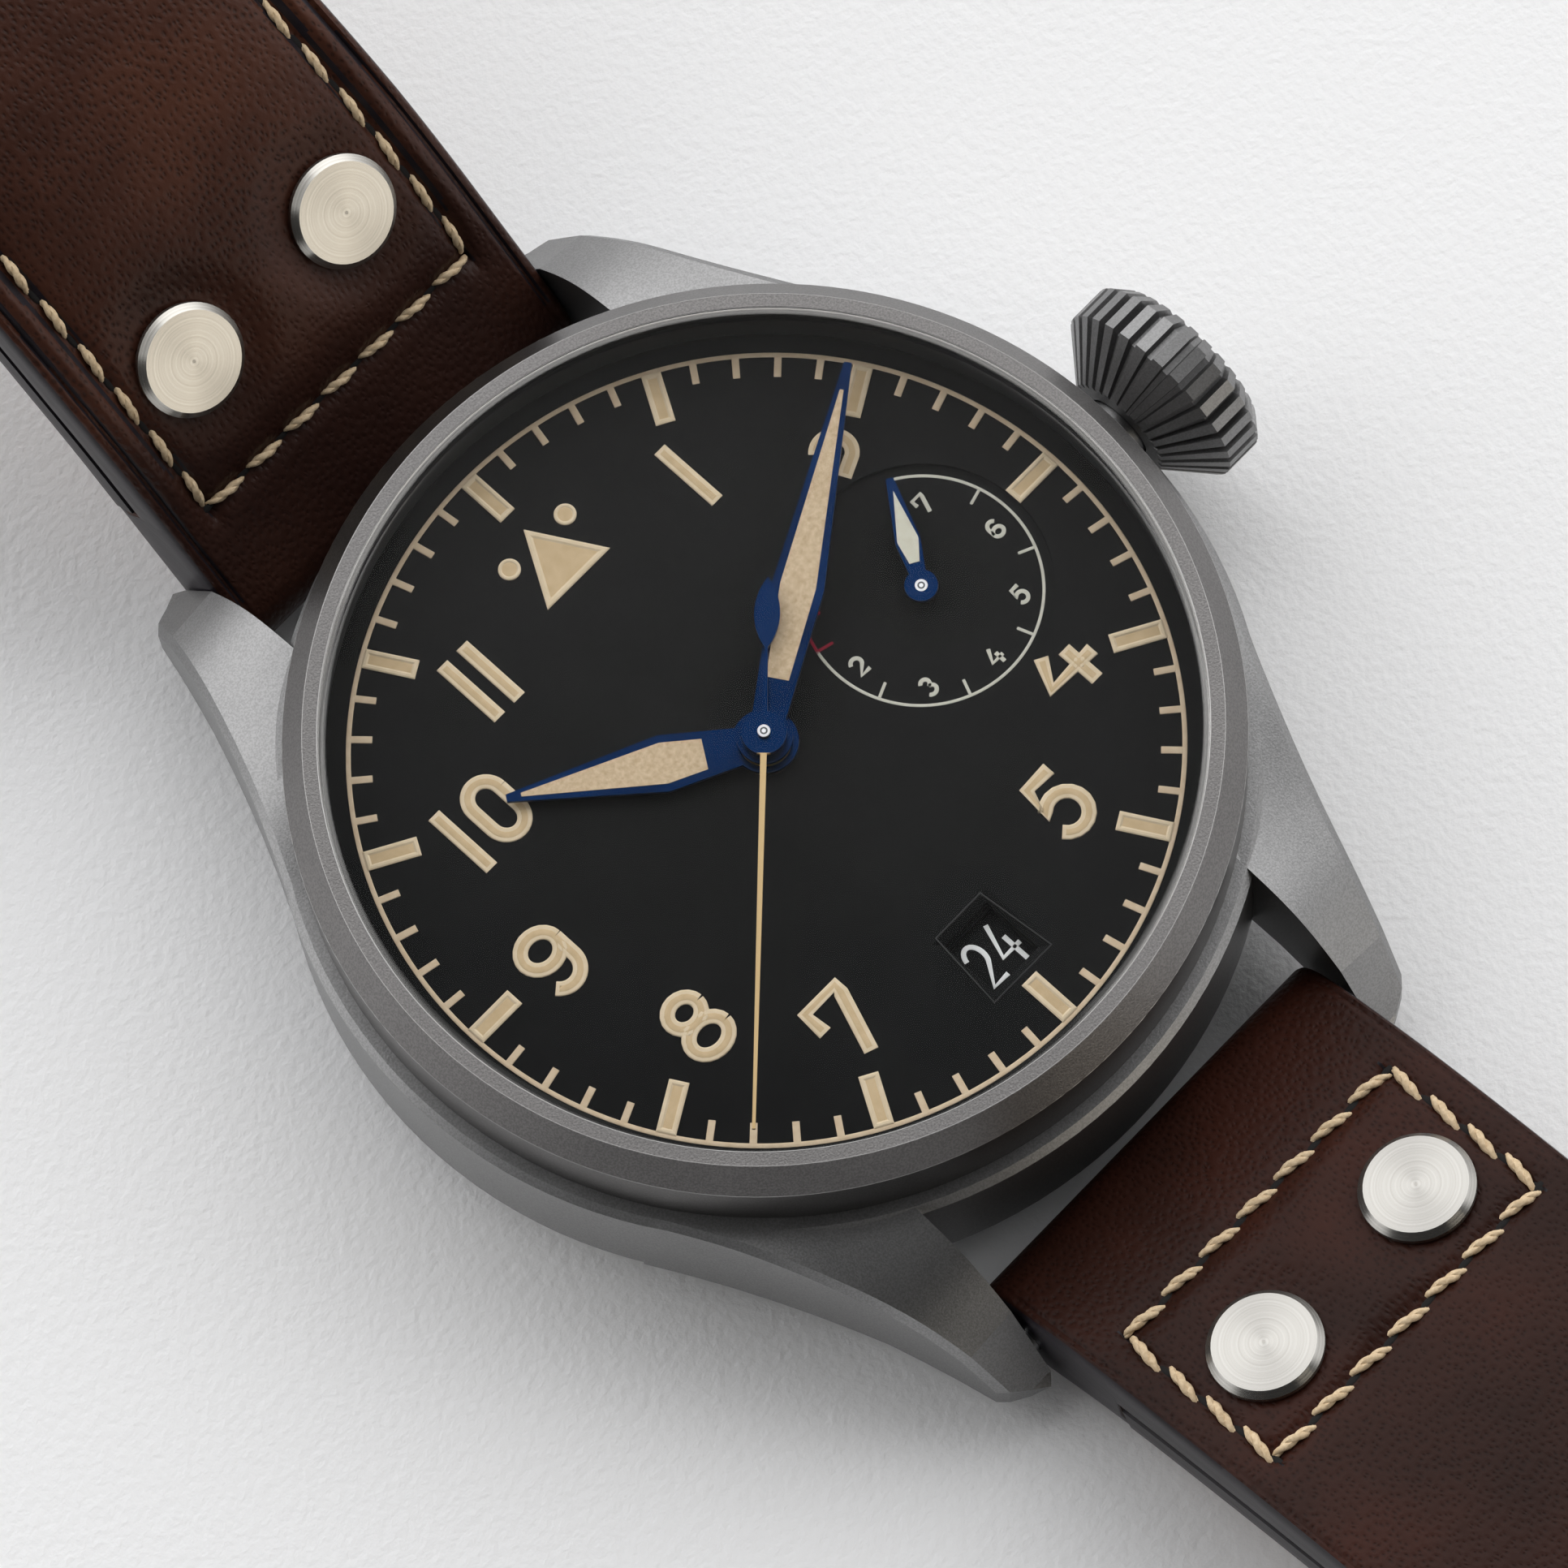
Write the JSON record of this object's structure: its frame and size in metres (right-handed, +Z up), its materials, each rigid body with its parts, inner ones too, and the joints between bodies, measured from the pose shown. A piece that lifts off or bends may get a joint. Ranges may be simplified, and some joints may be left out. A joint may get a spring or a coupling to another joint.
{
  "type": "pilot wristwatch",
  "caption": "Large round pilot's wristwatch with a coned crown, blued hands, a reserve subdial and a riveted brown leather strap with a pin buckle.",
  "frame": {"origin": "centre of the case back's resting face", "axes": "+X to 3 o'clock and the crown, +Y to 12 o'clock, +Z up out of the crystal"},
  "size_m": [0.0516, 0.2427, 0.0326],
  "materials": {
    "case_metal": "bead-blasted grey metal, finely sparkling",
    "bezel_metal": "satin grey metal with a bright edge",
    "crown_metal": "satin grey metal",
    "crystal_glass": "clear, anti-reflection coated",
    "seal_rubber": "black rubber",
    "rehaut_grey": "dark grey satin wall",
    "soft_iron": "plain soft iron",
    "movement_steel": "polished steel",
    "movement_plate": "plated, satin",
    "movement_brass": "gilt brass",
    "dial_black": "matte black",
    "lume_cream": "grainy cream paint",
    "hand_blue": "thermally blued, glossy",
    "strap_brown": "dark brown calf with fine pores, waxed",
    "strap_lining": "brown smooth lining",
    "rivet_steel": "turned face with fine rings, polished bevel",
    "buckle_steel": "satin steel"
  },
  "bodies": {
    "case": {"case_middle": "case_metal", "bezel": "bezel_metal", "crystal": "crystal_glass", "crystal_gasket": "seal_rubber", "rehaut_ring": "rehaut_grey", "case_back": "case_metal", "case_back_gasket": "seal_rubber", "inner_cage": "soft_iron", "movement_ring": "movement_steel", "crown_tube": "case_metal", "dial": "dial_black", "hour_marks": "lume_cream", "mainplate": "movement_plate", "barrel_bridge": "movement_plate", "train_bridge": "movement_plate", "balance_cock": "movement_plate", "bridge_screws": "movement_steel", "rotor_bearing": "movement_steel", "spring_bars": "case_metal"},
    "crown_seal": {"crown_gasket": "seal_rubber"},
    "crown_and_stem": {"crown": "crown_metal", "winding_stem": "movement_steel"},
    "clutch": {"sliding_pinion": "movement_steel"},
    "winding_gear": {"winding_pinion": "movement_steel"},
    "crown_gear": {"crown_wheel": "movement_steel"},
    "ratchet": {"ratchet_wheel": "movement_steel", "barrel_arbor": "movement_steel"},
    "minutes": {"minute_hand": "hand_blue", "minute_hand_lume": "lume_cream", "cannon_pinion": "movement_steel"},
    "hours": {"hour_hand": "hand_blue", "hour_hand_lume": "lume_cream", "hour_wheel": "movement_brass"},
    "minute_gear": {"minute_wheel": "movement_brass"},
    "seconds": {"seconds_hand": "hand_blue", "fourth_wheel": "movement_brass"},
    "centre_gear": {"centre_wheel": "movement_brass"},
    "third_gear": {"third_wheel": "movement_brass"},
    "escape_gear": {"escape_wheel": "movement_steel"},
    "drum": {"barrel": "movement_brass"},
    "anchor": {"pallet_fork": "movement_steel"},
    "balance": {"balance_wheel": "movement_brass", "hairspring": "movement_steel"},
    "reserve": {"power_reserve_hand": "hand_blue"},
    "date": {"date_ring": "dial_black"},
    "winding_mass": {"rotor": "movement_plate"},
    "strap_upper": {"strap_short": "strap_brown", "strap_short_lining": "strap_lining", "strap_short_rivets": "rivet_steel", "fixed_loop": "strap_brown"},
    "strap_lower": {"strap_long": "strap_brown", "strap_long_lining": "strap_lining", "strap_long_rivets": "rivet_steel"},
    "buckle": {"buckle_frame": "buckle_steel", "buckle_bar": "buckle_steel"},
    "tongue": {"buckle_tongue": "buckle_steel"},
    "keeper": {"free_loop": "strap_brown"}
  },
  "joints": [
    {"name": "crown_pull", "type": "slide", "parent": "case", "child": "crown_seal", "axis": [1, 0, 0], "range_m": [0, 0.002]},
    {"name": "crown_turn", "type": "hinge", "parent": "crown_seal", "child": "crown_and_stem", "pos_m": [0, 0, 0.00708], "axis": [1, 0, 0], "continuous": true},
    {"name": "clutch_slide", "type": "slide", "parent": "crown_and_stem", "child": "clutch", "axis": [1, 0, 0], "range_m": [-0.0028, 0]},
    {"name": "winding_gear_turn", "type": "hinge", "parent": "case", "child": "winding_gear", "pos_m": [0, 0, 0.00708], "axis": [1, 0, 0], "continuous": true},
    {"name": "crown_gear_turn", "type": "hinge", "parent": "case", "child": "crown_gear", "pos_m": [0.0119, 0, 0], "axis": [0, 0, 1], "continuous": true},
    {"name": "ratchet_turn", "type": "hinge", "parent": "case", "child": "ratchet", "pos_m": [0.00589, 0.00378, 0], "axis": [0, 0, 1], "continuous": true},
    {"name": "minutes_turn", "type": "hinge", "parent": "case", "child": "minutes", "pos_m": [0, 0, 0], "axis": [0, 0, -1], "continuous": true},
    {"name": "hours_turn", "type": "hinge", "parent": "case", "child": "hours", "pos_m": [0, 0, 0], "axis": [0, 0, -1], "continuous": true},
    {"name": "minute_gear_turn", "type": "hinge", "parent": "case", "child": "minute_gear", "pos_m": [-0.00127, 0.00272, 0], "axis": [0, 0, -1], "continuous": true},
    {"name": "seconds_turn", "type": "hinge", "parent": "case", "child": "seconds", "pos_m": [0, 0, 0], "axis": [0, 0, -1], "continuous": true},
    {"name": "centre_gear_turn", "type": "hinge", "parent": "case", "child": "centre_gear", "pos_m": [0, 0, 0], "axis": [0, 0, -1], "continuous": true},
    {"name": "third_gear_turn", "type": "hinge", "parent": "case", "child": "third_gear", "pos_m": [-0.00383, 0.0014, 0], "axis": [0, 0, -1], "continuous": true},
    {"name": "escape_gear_turn", "type": "hinge", "parent": "case", "child": "escape_gear", "pos_m": [0.00035, -0.00403, 0], "axis": [0, 0, -1], "continuous": true},
    {"name": "drum_turn", "type": "hinge", "parent": "case", "child": "drum", "pos_m": [0.00589, 0.00378, 0], "axis": [0, 0, -1], "continuous": true},
    {"name": "anchor_rock", "type": "hinge", "parent": "case", "child": "anchor", "pos_m": [-0.00064, -0.00676, 0], "axis": [0, 0, 1], "range_deg": [-5, 5]},
    {"name": "balance_swing", "type": "hinge", "parent": "case", "child": "balance", "pos_m": [-0.00237, -0.01151, 0], "axis": [0, 0, 1], "range_deg": [-270, 270], "deforming": ["hairspring"]},
    {"name": "reserve_turn", "type": "hinge", "parent": "case", "child": "reserve", "pos_m": [0.01044, 0, 0], "axis": [0, 0, -1], "range_deg": [-10, 273]},
    {"name": "date_turn", "type": "hinge", "parent": "case", "child": "date", "pos_m": [0, 0, 0], "axis": [0, 0, 1], "continuous": true},
    {"name": "rotor_turn", "type": "hinge", "parent": "case", "child": "winding_mass", "pos_m": [0, 0, 0], "axis": [0, 0, 1], "continuous": true},
    {"name": "strap_upper_swing", "type": "hinge", "parent": "case", "child": "strap_upper", "pos_m": [0, 0.0264, 0.0032], "axis": [1, 0, 0], "range_deg": [-95, 10]},
    {"name": "strap_lower_swing", "type": "hinge", "parent": "case", "child": "strap_lower", "pos_m": [0, -0.0264, 0.0032], "axis": [1, 0, 0], "range_deg": [-10, 75]},
    {"name": "buckle_swing", "type": "hinge", "parent": "strap_upper", "child": "buckle", "pos_m": [0, 0.0926, 0.01282], "axis": [1, 0, 0], "range_deg": [-45, 45]},
    {"name": "tongue_swing", "type": "hinge", "parent": "buckle", "child": "tongue", "pos_m": [0, 0.0926, 0.01282], "axis": [1, 0, 0], "range_deg": [0, 95]},
    {"name": "keeper_slide", "type": "hinge", "parent": "strap_upper", "child": "keeper", "pos_m": [0, 0.06372, -0.01767], "axis": [1, 0, 0], "range_deg": [0, 20]}
  ],
  "couplings": [
    {"joint": "clutch_slide", "follows": "crown_pull", "ratio": -1.4},
    {"joint": "winding_gear_turn", "follows": "crown_turn", "ratio": 1},
    {"joint": "crown_gear_turn", "follows": "crown_turn", "ratio": 0.21951},
    {"joint": "ratchet_turn", "follows": "crown_turn", "ratio": -0.3},
    {"joint": "hours_turn", "follows": "minutes_turn", "ratio": 0.083333},
    {"joint": "minute_gear_turn", "follows": "minutes_turn", "ratio": -0.33333},
    {"joint": "centre_gear_turn", "follows": "seconds_turn", "ratio": 0.016667},
    {"joint": "third_gear_turn", "follows": "seconds_turn", "ratio": -0.125},
    {"joint": "escape_gear_turn", "follows": "seconds_turn", "ratio": -9},
    {"joint": "drum_turn", "follows": "seconds_turn", "ratio": -0.0027778}
  ]
}
